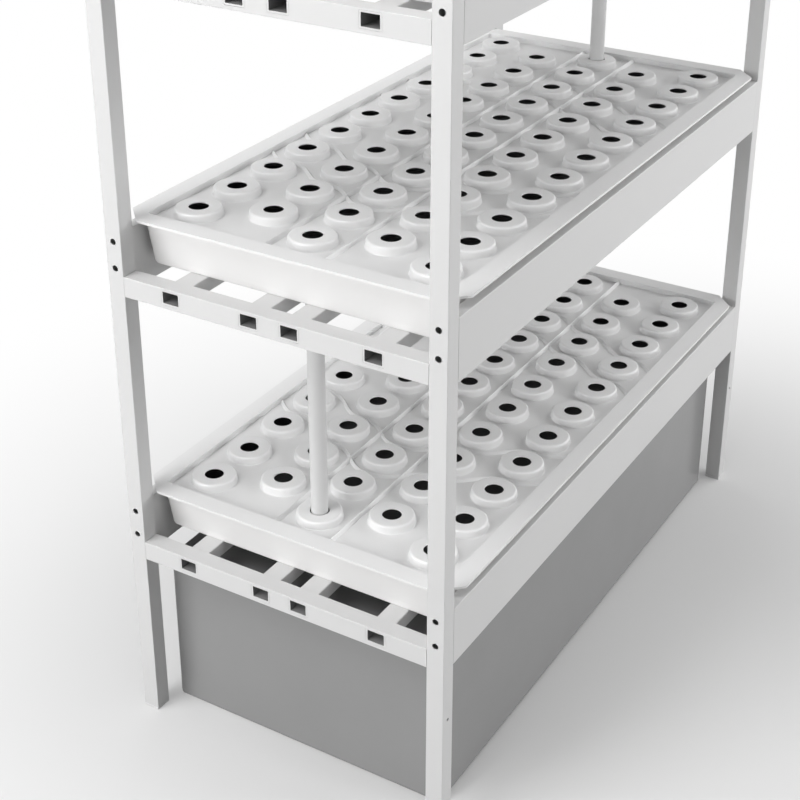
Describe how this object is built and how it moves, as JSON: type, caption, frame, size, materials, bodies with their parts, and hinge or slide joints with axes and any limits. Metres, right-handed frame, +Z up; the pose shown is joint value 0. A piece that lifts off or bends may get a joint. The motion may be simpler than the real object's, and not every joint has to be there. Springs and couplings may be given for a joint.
{
  "type": "hydroponic growing rack",
  "caption": "Free-standing growing rack: shallow trays with moulded planting covers on a frame of square posts, linked by drop pipes over a floor-standing nutrient tank.",
  "frame": {"origin": "on the floor below the centre of the rack", "axes": "+X along the rack towards the end where the top tray drains, +Y across it towards the side where the pump stands, +Z up"},
  "size_m": [1.24, 0.6, 1.44],
  "materials": {
    "frame": "satin white powder coat on steel tube",
    "fittings": "moulded, matte white",
    "fixings": "zinc plated",
    "tray": "moulded, soft sheen, white",
    "cover": "moulded, soft sheen, white",
    "pipe": "extruded, soft sheen, white",
    "tank": "moulded, matte mid grey",
    "pump": "moulded, matte near black"
  },
  "bodies": {
    "frame": {"foot_cap_left_front": "fittings", "foot_cap_left_back": "fittings", "foot_cap_right_front": "fittings", "foot_cap_right_back": "fittings", "post_left_front": "frame", "post_left_back": "frame", "post_right_front": "frame", "post_right_back": "frame", "end_rail_1_left": "frame", "end_rail_1_right": "frame", "end_rail_2_left": "frame", "end_rail_2_right": "frame", "end_rail_3_left": "frame", "end_rail_3_right": "frame", "side_rail_1_front": "frame", "side_rail_1_back": "frame", "side_rail_2_front": "frame", "side_rail_2_back": "frame", "side_rail_3_front": "frame", "side_rail_3_back": "frame", "bearer_1_1": "frame", "bearer_1_2": "frame", "bearer_1_3": "frame", "bearer_1_4": "frame", "bearer_2_1": "frame", "bearer_2_2": "frame", "bearer_2_3": "frame", "bearer_2_4": "frame", "bearer_3_1": "frame", "bearer_3_2": "frame", "bearer_3_3": "frame", "bearer_3_4": "frame", "rail_fixing_1_left_front": "fixings", "rail_fixing_1_left_back": "fixings", "rail_fixing_1_right_front": "fixings", "rail_fixing_1_right_back": "fixings", "rail_fixing_2_left_front": "fixings", "rail_fixing_2_left_back": "fixings", "rail_fixing_2_right_front": "fixings", "rail_fixing_2_right_back": "fixings", "rail_fixing_3_left_front": "fixings", "rail_fixing_3_left_back": "fixings", "rail_fixing_3_right_front": "fixings", "rail_fixing_3_right_back": "fixings"},
    "lower_tray": {"tray_1": "tray", "drop_pipe_1": "pipe"},
    "middle_tray": {"tray_2": "tray", "drop_pipe_2": "pipe"},
    "upper_tray": {"tray_3": "tray", "drop_pipe_3": "pipe", "feed_inlet": "pipe"},
    "lower_cover": {"planting_cover_1": "cover"},
    "middle_cover": {"planting_cover_2": "cover"},
    "upper_cover": {"planting_cover_3": "cover"},
    "reservoir": {"tank": "tank", "pump": "pump"},
    "reservoir_lid": {"tank_lid": "tank"}
  },
  "joints": [
    {"name": "lower_tray_lift", "type": "slide", "parent": "frame", "child": "lower_tray", "axis": [0, 0, 1], "range_m": [0, 0.035]},
    {"name": "middle_tray_lift", "type": "slide", "parent": "frame", "child": "middle_tray", "axis": [0, 0, 1], "range_m": [0, 0.035]},
    {"name": "upper_tray_lift", "type": "slide", "parent": "frame", "child": "upper_tray", "axis": [0, 0, 1], "range_m": [0, 0.1]},
    {"name": "lower_cover_lift", "type": "slide", "parent": "lower_tray", "child": "lower_cover", "axis": [0, 0, 1], "range_m": [0, 0.25]},
    {"name": "middle_cover_lift", "type": "slide", "parent": "middle_tray", "child": "middle_cover", "axis": [0, 0, 1], "range_m": [0, 0.25]},
    {"name": "upper_cover_lift", "type": "slide", "parent": "upper_tray", "child": "upper_cover", "axis": [0, 0, 1], "range_m": [0, 0.25]},
    {"name": "tank_draw", "type": "slide", "parent": "frame", "child": "reservoir", "axis": [-1, 0, 0], "range_m": [0, 0.6]},
    {"name": "lid_lift", "type": "slide", "parent": "reservoir", "child": "reservoir_lid", "axis": [0, 0, 1], "range_m": [0, 0.02]}
  ]
}
